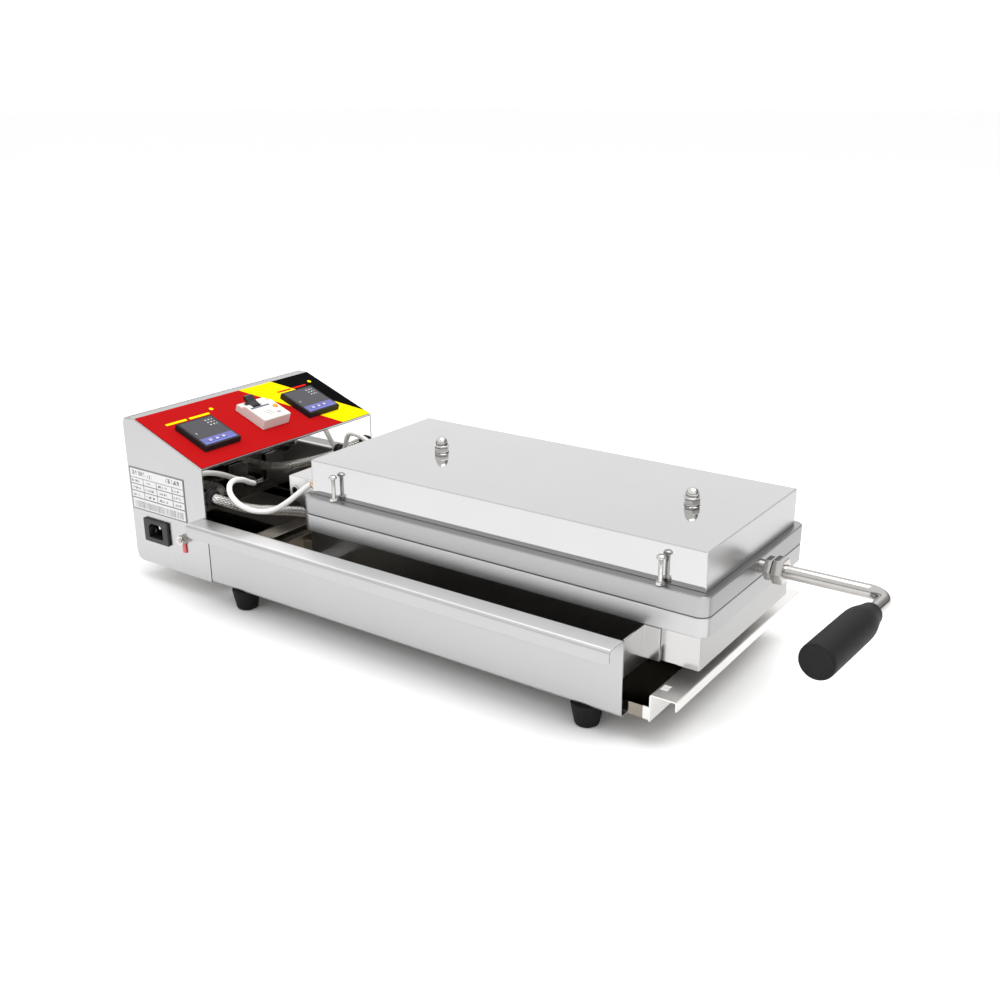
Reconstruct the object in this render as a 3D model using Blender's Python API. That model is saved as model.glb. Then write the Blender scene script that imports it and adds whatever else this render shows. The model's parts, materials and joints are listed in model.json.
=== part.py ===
"""Double-plate waffle baker: hinged upper mould, heated lower mould, drip tray, control box.

Driving dimensions are in millimetres with x = 0 at the middle of the mould; place() moves
them to the row frame (metres, +Z up, base at z = 0, middle of the bounding box at the origin).
"""

import math

import bmesh
import bpy
from mathutils import Matrix, Vector

MM = 0.001
SHIFT_X = 54.14         # middle of the mould to the middle of the bounding box
SHEET = 1.2             # folded steel sheet
GAP = 0.3               # clearance between neighbouring pieces

BOX_BACK, BOX_FRONT = -444.2, -326.7
BOX_HALF = 129.2
BOX_BOTTOM, BOX_TOP = 21.9, 182.5
SLOPE_START, SLOPE_LOW = -426.9, 144.9
BODY_END = 158.9
PANEL_TOP = 92.5
FLANGE_OUT, LIP_BOTTOM = 152.0, 78.5

PLATE_HALF_X, PLATE_HALF_Y, PLATE_CORNER = 216.5, 102.4, 10.0
LOWER_Z, SEAM_Z, UPPER_Z = 96.9, 114.2, 132.3
COVER_HALF_X, COVER_HALF_Y, COVER_TOP = 210.0, 92.0, 166.8
HEATER_X, HEATER_Z = (-215.0, 208.0), (62.5, 96.6)
PIVOT_X, PIVOT_Z = -254.0, 120.75
POCKET_X, POCKET_Y, POCKET_DEEP = 188.0, 164.0, 11.0
STUDS_X, STUDS_Y, STUD_HIGH = 7, 6, 5.5

TRAY_X, TRAY_HALF, TRAY_Z = (-316.0, 181.9), 122.9, 23.5
TRAY_SIDE, TRAY_FRONT, TRAY_LIP = 36.2, 48.2, 204.9

ROD_R, ROD_Z, ROD_BEND_X, ROD_CORNER = 6.0, 125.2, 325.5, 16.0
GRIP_TURN = 0.055       # how far the grip leans back towards the mould, radians

FEET = ((-287.7, -118), (-287.7, 118), (120.5, -118), (120.5, 118))
WALL_X = (-328.2, -327.0)                       # dividing wall
RAIL_X, TAB_WIDE, TAB_Y = (-219.2, -218.0), 28.5, (-88, 1, 59.5)
CONTROLLERS = ((60.5, -80.0), (59.0, 74.0))     # middles: along the slope, across
METER_HALF, METER_BACK_HALF, METER_DEEP, METER_PROUD = 24.0, 22.2, 62.0, 7.2
KEY_S, KEY_STEP, KEY_SIZE, KEY_OFF = 15.5, 9.0, (5.0, 6.4), -2.0
NOSE, NOSE_HIGH = (32.5, 78.0, -16.5, 23.0), 12.2
TOGGLE = (44.0, -3.0, 8.0)                      # pivot: along, across, over the slope
TOGGLE_HALF = 5.9
TEST_AT, TEST_R = (59.0, 16.5), 2.7
INLET_X, INLET_Z = (-424.6, -386.5), (48.4, 74.6)
EARTH = (-363.4, 62.1)
# y, z, hole in the wall, bore and outer radius of each grommet
GROMMETS = ((-118, 112, 6.7, 5.5, 8.8), (118, 112, 6.7, 5.5, 8.8),
            (-66.5, 114.5, 4.3, 3.1, 6.8), (73, 114.5, 4.3, 3.1, 6.8))
LEAD_R, CONDUIT_R = 2.75, 5.0
ELEMENT_LEFT, ELEMENT_HALF, ELEMENT_R, ELEMENT_BEND_X = -190.0, 45.0, 3.5, 150.0
HINGE_AT = (PIVOT_X, 0, PIVOT_Z)
HINGE_BOLT_R, HINGE_HOLE_R = 4.0, 4.2
BRACKET_TOP = 135.4
SEAT_HALF = 92.6                                # cut-out of the end wall round the heater box
GAP_SCREWS = ((-176.1, -97.9), (172.9, -97.9), (-176.1, 97.9), (172.9, 97.9))
CAP_NUTS = (-120.5, 150.9)

SLOPE_LEN = math.hypot(BOX_FRONT - SLOPE_START, BOX_TOP - SLOPE_LOW)
SLOPE_ANGLE = math.atan2(BOX_TOP - SLOPE_LOW, BOX_FRONT - SLOPE_START)

STEEL = ((0.78, 0.78, 0.79), 0.25, 1.0)
ALUMINIUM = ((0.72, 0.72, 0.74), 0.4, 1.0)
DARK = ((0.04, 0.04, 0.045), 0.5, 0.0)
RUBBER = ((0.02, 0.02, 0.02), 0.8, 0.0)
CREAM = ((0.85, 0.84, 0.8), 0.45, 0.0)
WHITE = ((0.9, 0.9, 0.88), 0.7, 0.0)
RED = ((0.7, 0.05, 0.05), 0.35, 0.0)
ORANGE = ((0.95, 0.5, 0.05), 0.4, 0.0)


def clear_scene():
    for obj in list(bpy.data.objects):
        bpy.data.objects.remove(obj)


def material(name, look):
    mat = bpy.data.materials.new(name)
    mat.use_nodes = True
    shader = mat.node_tree.nodes["Principled BSDF"]
    shader.inputs["Base Color"].default_value = (*look[0], 1)
    shader.inputs["Roughness"].default_value = look[1]
    shader.inputs["Metallic"].default_value = look[2]
    return mat


def place(x, y, z):
    return Vector(((x + SHIFT_X) * MM, y * MM, z * MM))


def add(name, bm, look, origin=(-SHIFT_X, 0, 0), smooth=False):
    """Makes the mesh built in millimetres an object whose origin is the given point."""
    start = place(*origin)
    for vert in bm.verts:
        vert.co = place(*vert.co) - start
    bmesh.ops.recalc_face_normals(bm, faces=bm.faces)
    for face in bm.faces:
        face.smooth = smooth
    mesh = bpy.data.meshes.new(name)
    bm.to_mesh(mesh)
    bm.free()
    obj = bpy.data.objects.new(name, mesh)
    obj.location = start
    bpy.context.scene.collection.objects.link(obj)
    if look:
        mesh.materials.append(material(name, look))
    return obj


def combine(target, other, operation):
    """Adds a Boolean to the target, with the other object as its hidden operand."""
    other.hide_render = True
    other.display_type = "WIRE"
    modifier = target.modifiers.new(other.name, "BOOLEAN")
    modifier.operation = operation
    modifier.solver = "EXACT"
    modifier.object = other


def cutter(target, bm, name):
    combine(target, add(target.name + "_" + name, bm, None), "DIFFERENCE")


def joined(target, bm, name):
    combine(target, add(target.name + "_" + name, bm, None), "UNION")


def prism(points, axis, low, high, bm=None):
    """A polygon of two coordinates pushed along an axis ("x", "y" or "z")."""
    bm = bm or bmesh.new()

    def corner(p, along):
        if axis == "x":
            return (along, p[0], p[1])
        if axis == "y":
            return (p[0], along, p[1])
        return (p[0], p[1], along)

    near = [bm.verts.new(corner(p, low)) for p in points]
    far = [bm.verts.new(corner(p, high)) for p in points]
    bm.faces.new(near[::-1])
    bm.faces.new(far)
    for i in range(len(points)):
        j = (i + 1) % len(points)
        bm.faces.new((near[i], near[j], far[j], far[i]))
    bmesh.ops.recalc_face_normals(bm, faces=bm.faces)
    return bm


def block(x0, x1, y0, y1, z0, z1, bm=None):
    return prism([(x0, y0), (x1, y0), (x1, y1), (x0, y1)], "z", z0, z1, bm)


def blocks(sizes):
    bm = bmesh.new()
    for size in sizes:
        block(*size, bm=bm)
    return bm


def bevel(bm, width, segments=2, keep=None):
    edges = [e for e in bm.edges if keep is None or keep(e)]
    bmesh.ops.bevel(bm, geom=edges, offset=width, offset_type="OFFSET", segments=segments,
                    profile=0.5, affect="EDGES", clamp_overlap=True, material=-1)
    return bm


def rounded(points, radius, steps=3):
    """The polyline with each inner corner replaced by an arc."""
    out = [points[0]]
    for before, here, after in zip(points, points[1:], points[2:]):
        a = (Vector(before) - Vector(here)).normalized()
        b = (Vector(after) - Vector(here)).normalized()
        half = a.angle(b) / 2
        reach = radius / math.tan(half)
        centre = Vector(here) + (a + b).normalized() * radius / math.sin(half)
        first = Vector(here) + a * reach - centre
        turn = first.angle_signed(Vector(here) + b * reach - centre)
        for i in range(steps + 1):
            out.append(tuple(centre + Matrix.Rotation(-turn * i / steps, 2) @ first))
    return out + [points[-1]]


def ribbon(points, thick):
    """The outline of a sheet that follows a polyline of two coordinates."""
    left, right = [], []
    for i, point in enumerate(points):
        sides = []
        for a, b in ((i - 1, i), (i, i + 1)):
            if a >= 0 and b < len(points):
                way = (Vector(points[b]) - Vector(points[a])).normalized()
                sides.append(Vector((-way.y, way.x)))
        normal = sum(sides, Vector((0, 0))).normalized()
        reach = thick / 2 / max(normal.dot(sides[0]), 0.2)
        left.append(tuple(Vector(point) + normal * reach))
        right.append(tuple(Vector(point) - normal * reach))
    return left + right[::-1]


def turn_to(bm, way, start):
    """Turns a mesh built along +Z to point along a direction, and moves it to start."""
    spin = Vector((0, 0, 1)).rotation_difference(Vector(way)).to_matrix().to_4x4()
    bmesh.ops.transform(bm, matrix=Matrix.Translation(start) @ spin, verts=bm.verts)
    return bm


def lathe(profile, steps, way=(0, 0, 1), start=(0, 0, 0), closed=False, bm=None):
    """A profile of (radius, height) turned about +Z; closed joins its last point to its first."""
    new = bmesh.new()
    rings = []
    for radius, height in profile:
        if radius < 1e-6:
            rings.append([new.verts.new((0, 0, height))])
            continue
        ring = []
        for i in range(steps):
            a = 2 * math.pi * i / steps
            ring.append(new.verts.new((radius * math.cos(a), radius * math.sin(a), height)))
        rings.append(ring)
    pairs = list(zip(rings, rings[1:]))
    if closed:
        pairs.append((rings[-1], rings[0]))
    for a, b in pairs:
        for i in range(steps):
            j = (i + 1) % steps
            if len(a) == 1:
                new.faces.new((a[0], b[j], b[i]))
            elif len(b) == 1:
                new.faces.new((a[i], a[j], b[0]))
            else:
                new.faces.new((a[i], a[j], b[j], b[i]))
    if not closed:
        for ring, down in ((rings[0], True), (rings[-1], False)):
            if len(ring) > 1:
                new.faces.new(ring[::-1] if down else ring)
    bmesh.ops.recalc_face_normals(new, faces=new.faces)
    turn_to(new, way, start)
    if bm is None:
        return new
    mesh = bpy.data.meshes.new("part")
    new.to_mesh(mesh)
    new.free()
    bm.from_mesh(mesh)
    bpy.data.meshes.remove(mesh)
    return bm


def hexagon(across, low, high, way, start, bm=None):
    """A hexagonal prism whose corners are chamfered at both ends."""
    r = across / math.sqrt(3)
    profile = [(r * 0.93, low), (r, low + 0.8), (r, high - 0.8), (r * 0.93, high)]
    return lathe(profile, 6, way, start, bm=bm)


def rounded_rect(half_x, half_y, radius, steps=5):
    points = []
    for sx, sy, first in ((1, 1, 0), (-1, 1, 90), (-1, -1, 180), (1, -1, 270)):
        for i in range(steps + 1):
            a = math.radians(first + 90 * i / steps)
            points.append((sx * (half_x - radius) + radius * math.cos(a),
                           sy * (half_y - radius) + radius * math.sin(a)))
    return points


def tube(name, points, radius, look, resolution=2, origin=(-SHIFT_X, 0, 0)):
    """A capped round tube along a polyline."""
    start = place(*origin)
    curve = bpy.data.curves.new(name, "CURVE")
    curve.dimensions = "3D"
    curve.bevel_depth = radius * MM
    curve.bevel_resolution = resolution
    curve.use_fill_caps = True
    spline = curve.splines.new("POLY")
    spline.points.add(len(points) - 1)
    for point, at in zip(spline.points, points):
        point.co = (*(place(*at) - start), 1)
        point.radius = 1
    spline.use_smooth = True
    obj = bpy.data.objects.new(name, curve)
    obj.location = start
    bpy.context.scene.collection.objects.link(obj)
    curve.materials.append(material(name, look))
    return obj


def smooth_route(points, spacing):
    """Evenly spaced points of a smooth curve through the given ones."""
    fine = []
    padded = [points[0], *points, points[-1]]
    for p0, p1, p2, p3 in zip(padded, padded[1:], padded[2:], padded[3:]):
        for i in range(20):
            t = i / 20
            fine.append(Vector([
                0.5 * (2 * b + (c - a) * t + (2 * a - 5 * b + 4 * c - d) * t * t
                       + (3 * b - a - 3 * c + d) * t ** 3)
                for a, b, c, d in zip(p0, p1, p2, p3)]))
    fine.append(Vector(points[-1]))
    total = sum((b - a).length for a, b in zip(fine, fine[1:]))
    count = max(2, round(total / spacing))
    out, run, want = [fine[0]], 0.0, 1
    for a, b in zip(fine, fine[1:]):
        run += (b - a).length
        while want < count and run >= want * total / count:
            out.append(b.lerp(a, (run - want * total / count) / max((b - a).length, 1e-9)))
            want += 1
    return [tuple(p) for p in out] + [tuple(fine[-1])]


def on_slope(bm):
    """Turns a mesh built as (along the slope, y, height over it) onto the sloped face."""
    bmesh.ops.transform(bm, matrix=slope_matrix(), verts=bm.verts)
    return bm


def slope_matrix():
    move = Matrix.Translation((SLOPE_START, 0, BOX_TOP))
    return move @ Matrix.Rotation(SLOPE_ANGLE, 4, "Y")


def slope_point(s, y, h):
    return tuple(slope_matrix() @ Vector((s, y, h)))


# Base


def side_panel(name, side):
    """Folded panel: foot flange inwards, wall, rolled flange outwards with a lip."""
    half, t = BOX_HALF - SHEET / 2, SHEET / 2
    line = [(105, BOX_BOTTOM + t), (half, BOX_BOTTOM + t), (half, PANEL_TOP - t),
            (FLANGE_OUT - t, PANEL_TOP - t), (FLANGE_OUT - t, LIP_BOTTOM)]
    outline = ribbon(rounded(line, 3.0, 3), SHEET)
    bm = prism([(side * y, z) for y, z in outline], "x", BOX_FRONT - 4.3, BODY_END)
    panel = add(name, bm, STEEL)
    low, high = sorted((side * (BOX_HALF + 0.25), side * 100))
    cutter(panel, block(BOX_FRONT - 9, BOX_FRONT + 1.4, low, high, 0, 100), "end")
    for x in (BOX_FRONT - 4.3, BODY_END):
        way = 1 if x < 0 else -1
        corner = [(x - way * 3, LIP_BOTTOM - 3), (x + way * 5, LIP_BOTTOM - 3),
                  (x + way * 5, LIP_BOTTOM - 0.01), (x + way * 2, LIP_BOTTOM + 1),
                  (x + way * 0.5, LIP_BOTTOM + 3), (x - way * 3, LIP_BOTTOM + 4)]
        low, high = sorted((side * (FLANGE_OUT - 3), side * (FLANGE_OUT + 3)))
        cutter(panel, prism(corner, "y", low, high), "lip" + str(int(x < 0)))
    return panel


def base():
    side_panel("base_panel_left", -1)
    side_panel("base_panel_right", 1)

    inner = BOX_HALF - SHEET - GAP
    wall = blocks([(BODY_END - SHEET, BODY_END, -inner, inner, 58, PANEL_TOP - 0.2)])
    end = add("end_wall", wall, STEEL)
    joined(end, block(BODY_END - 14, BODY_END - 0.5, -inner, inner, 58, 58 + SHEET), "return")
    sides = blocks([(BODY_END - SHEET, BODY_END + 14, y, y + SHEET + 0.6, 62.6, 92)
                    for y in (-SEAT_HALF - SHEET, SEAT_HALF - 0.6)])
    joined(end, sides, "sides")
    cutter(end, block(150, 180, -SEAT_HALF, SEAT_HALF, 62.1, 99), "seat")

    rail = block(*RAIL_X, -inner, inner, 50, 62.1)
    rail = add("rear_cross_rail", rail, STEEL)
    joined(rail, block(RAIL_X[0] + 0.6, -196, -inner, inner, 62.1 - SHEET, 62.1), "ledge")
    tabs = blocks([(*RAIL_X, y, y + TAB_WIDE, 61, 94) for y in TAB_Y])
    joined(rail, tabs, "tabs")

    wall = add("dividing_wall", block(*WALL_X, -inner, inner, 24.2, 143.0), STEEL)
    for n, (y, z, r, _, _) in enumerate(GROMMETS):
        hole = lathe([(r, -345), (r, -310)], 16, (1, 0, 0), (0, y, z))
        cutter(wall, hole, "hole" + str(n))

    profile = [(0, 0), (8.5, 0), (10.2, 0.6), (10.9, 2.2), (14.3, 20), (14.3, 21.6), (0, 21.6)]
    for n, (x, y) in enumerate(FEET):
        add("foot_" + str(n + 1), lathe(profile, 20, start=(x, y, 0)), RUBBER, smooth=True)


def control_box():
    outline = [(BOX_BACK, BOX_BOTTOM + 9), (BOX_BACK + 2.6, BOX_BOTTOM + 2.6),
               (BOX_BACK + 9, BOX_BOTTOM), (BOX_FRONT, BOX_BOTTOM), (BOX_FRONT, SLOPE_LOW),
               (SLOPE_START, BOX_TOP), (BOX_BACK + 5, BOX_TOP), (BOX_BACK + 1.4, BOX_TOP - 1.4),
               (BOX_BACK, BOX_TOP - 5)]
    skin = prism(outline, "y", -BOX_HALF, BOX_HALF)
    bevel(skin, 1.3, 2, lambda e: abs(e.verts[0].co.y - e.verts[1].co.y) < 1
          and max(v.co.z for v in e.verts) > SLOPE_LOW
          and min(v.co.z for v in e.verts) > SLOPE_LOW - 1)
    hood = add("control_hood", skin, STEEL)
    c, s = math.cos(SLOPE_ANGLE), math.sin(SLOPE_ANGLE)
    low_in = SLOPE_LOW - SHEET / c
    inside = [(BOX_BACK + SHEET, 0), (BOX_FRONT + 20, 0),
              (BOX_FRONT + 20, low_in - 20 * s / c),
              (SLOPE_START - SHEET * s / 2, BOX_TOP - SHEET),
              (BOX_BACK + 5, BOX_TOP - SHEET), (BOX_BACK + SHEET, BOX_TOP - 5)]
    cutter(hood, prism(inside, "y", -BOX_HALF + SHEET, BOX_HALF - SHEET), "inside")
    cutter(hood, on_slope(panel_cuts(METER_BACK_HALF + 0.6)), "openings")
    cutter(hood, block(INLET_X[0] + 5, INLET_X[1] - 4.9, -135, -120, INLET_Z[0] + 2.4,
                       INLET_Z[1] - 2.4), "inlet_hole")
    hole = lathe([(3.2, 115), (3.2, 135)], 12, (0, -1, 0), (EARTH[0], 0, EARTH[1]))
    cutter(hood, hole, "earth_hole")

    inner = BOX_HALF - SHEET - GAP
    floor = block(BOX_BACK + 12, -330, -inner, inner, 22.6, 23.8)
    joined(add("box_floor", floor, STEEL), block(BOX_BACK + 12, BOX_BACK + 13.2, -inner, inner,
                                                 22.6, 40), "rear_lip")
    add("relay_block", bevel(block(-405, -350, 40, 104, 24.2, 62), 1.5, 1), DARK)

    sheet = on_slope(block(1.5, SLOPE_LEN - 1.0, -BOX_HALF + 1.7, BOX_HALF - 1.7, 0.1, 0.5))
    overlay = add("panel_overlay", sheet, RED)
    cutter(overlay, on_slope(panel_cuts(METER_HALF + 0.2)), "cut")
    add("rating_plate", block(-442, -356, -BOX_HALF - 0.5, -BOX_HALF - 0.1, 81.4, 128.6), WHITE)


def panel_cuts(half):
    """Square cuts of a half side for both controllers, and the one for the breaker's nose."""
    cuts = [(s - half, s + half, y - half, y + half, -5, 5) for s, y in CONTROLLERS]
    room = 0.4
    cuts.append((NOSE[0] - room, NOSE[1] + room, NOSE[2] - room, NOSE[3] + room, -5, 5))
    return blocks(cuts)


def controller(name, s, y):
    """Panel meter: bezel over the sheet, housing behind it, three keys in its lower strip."""
    half, back = METER_HALF, METER_BACK_HALF
    face = bevel(block(s - half, s + half, y - half, y + half, 0.2, METER_PROUD), 1.0, 2,
                 lambda e: min(v.co.z for v in e.verts) > METER_PROUD - 0.2)
    body = add(name, on_slope(face), DARK)
    housing = block(s - back, s + back, y - back, y + back, -METER_DEEP, 1)
    joined(body, on_slope(housing), "housing")
    half_s, half_y = KEY_SIZE[0] / 2, KEY_SIZE[1] / 2
    middles = [(s + KEY_S, y + n * KEY_STEP + KEY_OFF) for n in (-1, 0, 1)]
    pockets = blocks([(cs - half_s - GAP, cs + half_s + GAP, cy - half_y - GAP, cy + half_y + GAP,
                       4.5, 9) for cs, cy in middles])
    cutter(body, on_slope(pockets), "pockets")
    for n, (cs, cy) in enumerate(middles):
        top = METER_PROUD + 0.3
        key = block(cs - half_s, cs + half_s, cy - half_y, cy + half_y, 5.4, top)
        add(name + "_key_" + str(n + 1), on_slope(key), DARK, slope_point(cs, cy, top))


def breaker():
    s0, s1, y0, y1 = NOSE
    outline = [(s0, -10), (s0, 7), (s0 + 3, 8.6), (s0 + 8, 8.6), (s0 + 13, NOSE_HIGH),
               (s1, NOSE_HIGH), (s1, -10)]
    nose = bevel(prism(outline, "y", y0, y1), 0.8, 1)
    body = add("breaker_body", on_slope(nose), CREAM)
    joined(body, on_slope(block(12, 97, y0, y1, -50, -3)), "rear")
    s, y, pivot = TOGGLE
    wide = TOGGLE_HALF + 0.5
    slot = block(s - 7.5, s + 7.5, y - wide, y + wide, pivot - 7, 20)
    cutter(body, on_slope(slot), "slot")
    test_at = (*TEST_AT, 0)
    hole = lathe([(TEST_R + 0.4, 6.6), (TEST_R + 0.4, 20)], 16, start=test_at)
    cutter(body, on_slope(hole), "test_hole")

    lever = [(-5.5, -3.2), (5.5, -3.2), (6.2, 2.5), (5.0, 4.6), (-1.5, 6.0), (-8.5, 9.6),
             (-11.5, 8.2), (-10.6, 5.6), (-6.2, 2.6)]
    toggle = prism([(s + a, pivot + b) for a, b in lever], "y", y - TOGGLE_HALF, y + TOGGLE_HALF)
    bevel(toggle, 0.5, 1)
    add("breaker_toggle", on_slope(toggle), DARK, slope_point(*TOGGLE))
    top = 14.0
    button = lathe([(TEST_R, 8.6), (TEST_R, top - 0.6), (TEST_R - 0.4, top), (0, top)], 16,
                   start=test_at)
    add("breaker_test_button", on_slope(button), ORANGE, slope_point(*TEST_AT, top), True)


def inlet_and_earth():
    plate = bevel(block(*INLET_X, -BOX_HALF - 3.2, -BOX_HALF - 0.2, *INLET_Z), 1.2, 2)
    inlet = add("mains_inlet", plate, DARK)
    joined(inlet, block(INLET_X[0] + 5.4, INLET_X[1] - 5.3, -BOX_HALF - 1, -106,
                        INLET_Z[0] + 2.8, INLET_Z[1] - 2.8), "body")
    middle, low, high = -405.5, 54, 70
    mouth = [(middle - 11, low), (middle + 11, low), (middle + 11, high - 4),
             (middle + 7, high), (middle - 7, high), (middle - 11, high - 4)]
    cutter(inlet, prism(mouth, "y", -BOX_HALF - 6, -116), "mouth")
    pins = blocks([(x - 1, x + 1, -126.5, -114, z - 2, z + 2)
                   for x, z in ((middle - 6.8, 60), (middle + 6.8, 60), (middle, 65))])
    joined(inlet, pins, "pins")

    at = (EARTH[0], 0, EARTH[1])
    stud = lathe([(2.5, 118), (2.5, 138.4), (1.9, 139)], 12, (0, -1, 0), at)
    stud = add("earth_stud", stud, STEEL, smooth=False)
    outer = hexagon(9, BOX_HALF + 2.0, BOX_HALF + 6.0, (0, -1, 0), at)
    joined(stud, outer, "nut")
    joined(stud, hexagon(9, 122, 127.4, (0, -1, 0), at), "inner_nut")
    ring = lathe([(5.2, BOX_HALF + 0.3), (5.2, BOX_HALF + 1.6)], 16, (0, -1, 0), at)
    tag = add("earth_tag", ring, RED)
    joined(tag, block(at[0] - 2.2, at[0] + 2.2, -BOX_HALF - 1.6, -BOX_HALF - 0.3,
                      EARTH[1] - 15, EARTH[1] - 3), "tongue")
    cutter(tag, lathe([(2.8, 120), (2.8, 140)], 16, (0, -1, 0), at), "bore")


# Wiring


def wiring():
    for n, (y, z, _, bore, outer) in enumerate(GROMMETS):
        neck = bore + 0.8
        ring = [(bore, -4), (outer - 1, -4), (outer, -3), (outer, -1.4), (neck, -1.4),
                (neck, 0.6), (outer, 0.6), (outer, 3.6), (outer - 1.6, 5.2), (bore, 5.2)]
        ring = lathe(ring, 20, (1, 0, 0), (-327.3, y, z), closed=True)
        add("grommet_" + str(n + 1), ring, RUBBER, smooth=True)

    near = [(-320.5, -66.5, 114.5), (-318.5, -69.5, 116), (-315.5, -77, 119.5), (-311, -90, 126.5),
            (-306, -104.5, 131), (-301, -115.6, 130.8), (-296, -121.5, 126.3),
            (-291, -122.2, 120.1), (-284, -119.2, 112.8), (-275, -113.2, 107.6),
            (-265, -107.6, 106.5), (-254, -102.6, 109.2), (-240, -98, 118.5),
            (-228, -92, 129.5), (-219, -87, 137.3), (-212, -86, 139), (-204, -86, 139.5)]
    tube("white_lead_left", [(-340, -66.5, 114.5)] + smooth_route(near, 8), LEAD_R, WHITE)
    far = [(-320.5, 73, 114.5), (-317.8, 72.8, 119), (-315, 71.5, 125), (-312, 70.5, 132),
           (-307, 70, 138), (-297, 72, 137.5), (-285, 77, 130), (-270, 83, 122.5),
           (-252, 87, 122), (-236, 88, 128), (-225, 87, 135), (-217, 86, 138.6),
           (-204, 86, 139.5)]
    tube("white_lead_right", [(-340, 73, 114.5)] + smooth_route(far, 8), LEAD_R, WHITE)
    for name, side in (("conduit_left", -1), ("conduit_right", 1)):
        route = [(-321, 118, 112), (-315, 113.8, 109.3), (-309, 107.5, 105.4),
                 (-303, 100.5, 101.4), (-295, 89.4, 97.3), (-287, 78, 94.7), (-278, 67, 92.5),
                 (-266, 54, 90), (-250, 46, 87.6), (-234, 43.8, 86.2), (-204, 43.5, 86)]
        route = [(x, side * y, z) for x, y, z in route]
        start = [(-342, side * 118, 112)]
        tube(name, start + smooth_route(route, 9), CONDUIT_R, STEEL, 3)


# Moulds


def mould_plate(name, low, high, mouth_up):
    bm = prism(rounded_rect(PLATE_HALF_X, PLATE_HALF_Y, PLATE_CORNER), "z", low, high)
    bevel(bm, 1.2, 2, lambda e: abs(e.verts[0].co.z - e.verts[1].co.z) < 0.01)
    plate = add(name, bm, ALUMINIUM)
    floor = high - POCKET_DEEP if mouth_up else low + POCKET_DEEP
    pockets, studs = bmesh.new(), bmesh.new()
    for side in (-1, 1):
        cx = side * (POCKET_X / 2 + 8)
        x, y = POCKET_X / 2, POCKET_Y / 2
        ends = (high + 1, floor) if mouth_up else (low - 1, floor)
        taper(pockets, cx, 0, x, y, ends[0], x - 1.2, y - 1.2, ends[1])
        step_x, step_y = (POCKET_X - 10) / STUDS_X, (POCKET_Y - 10) / STUDS_Y
        root = floor - 1 if mouth_up else floor + 1
        tip = floor + STUD_HIGH if mouth_up else floor - STUD_HIGH
        for i in range(STUDS_X):
            for j in range(STUDS_Y):
                at_x = cx + (i - (STUDS_X - 1) / 2) * step_x
                at_y = (j - (STUDS_Y - 1) / 2) * step_y
                taper(studs, at_x, at_y, step_x / 2 - 1.5, step_y / 2 - 1.5, root,
                      step_x / 2 - 3.6, step_y / 2 - 3.6, tip)
    cutter(plate, pockets, "pockets")
    joined(plate, studs, "studs")
    return plate


def taper(bm, cx, cy, x0, y0, z0, x1, y1, z1):
    """A tapered block between two rectangles."""
    ends = []
    for hx, hy, z in ((x0, y0, z0), (x1, y1, z1)):
        ends.append([bm.verts.new((cx + a * hx, cy + b * hy, z))
                     for a, b in ((-1, -1), (1, -1), (1, 1), (-1, 1))])
    bm.faces.new(ends[0][::-1])
    bm.faces.new(ends[1])
    for i in range(4):
        j = (i + 1) % 4
        bm.faces.new((ends[0][i], ends[0][j], ends[1][j], ends[1][i]))


def element(name, z):
    """A U tube that lies along the mould."""
    half, bend = ELEMENT_HALF, ELEMENT_BEND_X
    points = [(ELEMENT_LEFT, -half, z), (60, -half, z), (bend, -half, z)]
    for i in range(1, 10):
        a = math.radians(-90 + 18 * i)
        points.append((bend + half * math.cos(a), half * math.sin(a), z))
    points += [(bend, half, z), (60, half, z), (ELEMENT_LEFT, half, z)]
    tube(name, points, ELEMENT_R, DARK, 1)


def lower_mould():
    x0, x1 = HEATER_X
    shell = bevel(block(x0, x1, -COVER_HALF_Y, COVER_HALF_Y, *HEATER_Z), 1.2, 2,
                  lambda e: min(v.co.z for v in e.verts) < HEATER_Z[1] - 1)
    box = add("lower_heater_box", shell, STEEL)
    cutter(box, block(x0 + SHEET, x1 - SHEET, -COVER_HALF_Y + SHEET, COVER_HALF_Y - SHEET,
                      HEATER_Z[0] + SHEET, 110), "inside")
    for n, y in enumerate((-43.5, 43.5)):
        hole = lathe([(5.6, -225), (5.6, -205)], 16, (1, 0, 0), (0, y, 86))
        cutter(box, hole, "hole" + str(n))
    element("lower_element", 92.8)
    mould_plate("lower_mould_plate", LOWER_Z, SEAM_Z, True)

    bar = add("lower_hinge_bar", block(-218.2, -216.9, -67, 67, 98, 112.5), STEEL)
    ear = [(-264, 112), (-243, 98), (-216.9, 98), (-216.9, 112.5), (-221, 112.5), (-241, 129),
           (-264, 129)]
    for n, (low, high) in enumerate(((-67, -65), (65, 67))):
        joined(bar, prism(ear, "y", low, high), "ear" + str(n))
        hole = lathe([(HINGE_HOLE_R, low - 3), (HINGE_HOLE_R, high + 3)], 16, (0, 1, 0), HINGE_AT)
        cutter(bar, hole, "hole" + str(n))
    for name, side in (("hinge_bolt_left", -1), ("hinge_bolt_right", 1)):
        bolt = lathe([(HINGE_BOLT_R, 57), (HINGE_BOLT_R, 73)], 16, (0, side, 0), HINGE_AT)
        bolt = add(name, bolt, STEEL)
        washer = lathe([(5.4, 71.7), (5.4, 72.4)], 20, (0, side, 0), HINGE_AT)
        joined(bolt, washer, "washer")
        joined(bolt, hexagon(13, 58.4, 64.6, (0, side, 0), HINGE_AT), "nut")


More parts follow.
